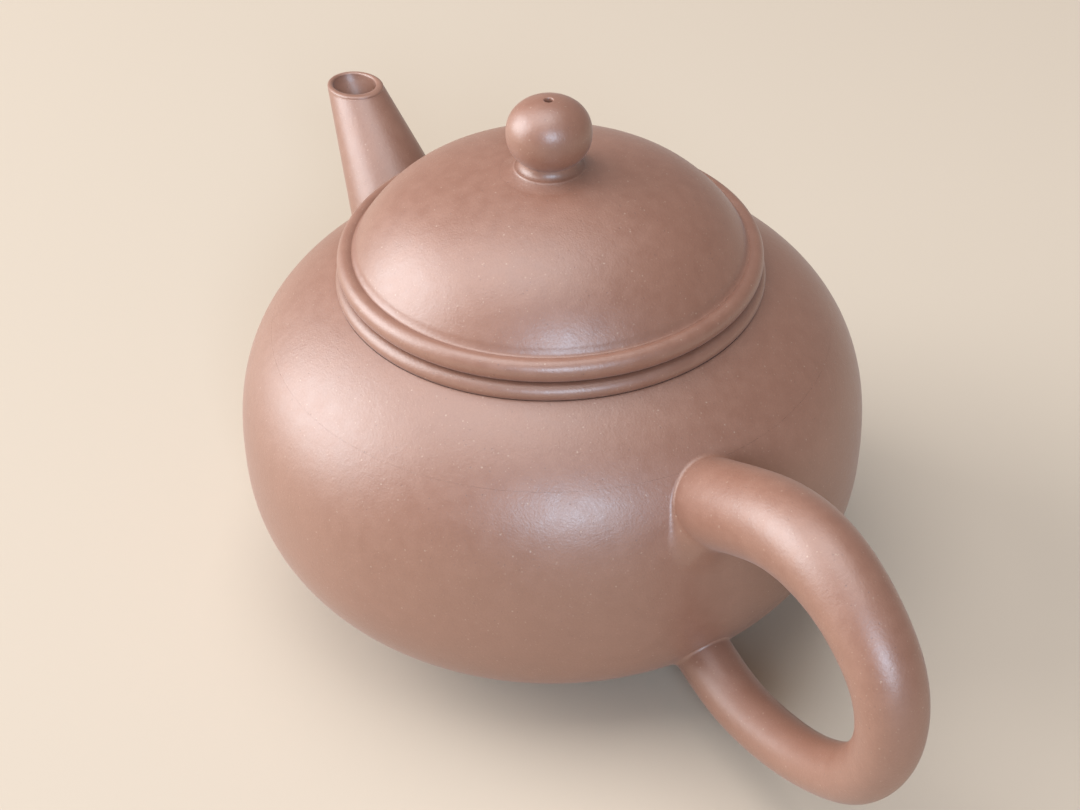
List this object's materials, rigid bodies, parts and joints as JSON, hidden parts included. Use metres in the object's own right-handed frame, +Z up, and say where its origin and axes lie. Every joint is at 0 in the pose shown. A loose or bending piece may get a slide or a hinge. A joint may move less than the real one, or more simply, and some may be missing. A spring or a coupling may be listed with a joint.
{
  "type": "clay teapot",
  "caption": "Round unglazed clay teapot with a straight tapering spout, a loop handle and a lift-off domed lid with a ball knob.",
  "frame": {"origin": "centre of the flat foot, on the surface the pot stands on, on the axis of the belly and lid", "axes": "+Z up along the pot's axis, +X towards the spout, -X towards the handle, +Y across"},
  "size_m": [0.1377, 0.08, 0.0686],
  "materials": {
    "clay_wall": "unglazed fired clay, smooth satin matte, purple-brown with fine sandy grain",
    "clay_shoulder": "unglazed fired clay, smooth satin matte, purple-brown with fine sandy grain",
    "clay_base": "unglazed fired clay, smooth satin matte, purple-brown with fine sandy grain",
    "clay_mouth": "unglazed fired clay, smooth satin matte, purple-brown with fine sandy grain",
    "clay_spout": "unglazed fired clay, smooth satin matte, purple-brown with fine sandy grain",
    "clay_strainer": "unglazed fired clay, smooth satin matte, purple-brown with fine sandy grain",
    "clay_handle": "unglazed fired clay, smooth satin matte, purple-brown with fine sandy grain",
    "clay_lid_rim": "unglazed fired clay, smooth satin matte, purple-brown with fine sandy grain",
    "clay_lid": "unglazed fired clay, smooth satin matte, purple-brown with fine sandy grain",
    "clay_flange": "unglazed fired clay, smooth satin matte, purple-brown with fine sandy grain",
    "clay_neck": "unglazed fired clay, smooth satin matte, purple-brown with fine sandy grain",
    "clay_knob": "unglazed fired clay, smooth satin matte, purple-brown with fine sandy grain"
  },
  "bodies": {
    "pot": {"belly_wall": "clay_wall", "shoulder_disc": "clay_shoulder", "base_disc": "clay_base", "mouth_ring": "clay_mouth", "spout": "clay_spout", "spout_strainer": "clay_strainer", "handle": "clay_handle"},
    "lid_carrier": {"lid_flange": "clay_flange"},
    "lid": {"lid_rim": "clay_lid_rim", "lid_dome": "clay_lid", "knob_neck": "clay_neck", "knob": "clay_knob"}
  },
  "joints": [
    {"name": "lid_lift", "type": "slide", "parent": "pot", "child": "lid_carrier", "axis": [0, 0, 1], "range_m": [0, 0.05]},
    {"name": "lid_turn", "type": "hinge", "parent": "lid_carrier", "child": "lid", "pos_m": [0, 0, 0.048], "axis": [0, 0, 1], "continuous": true}
  ]
}
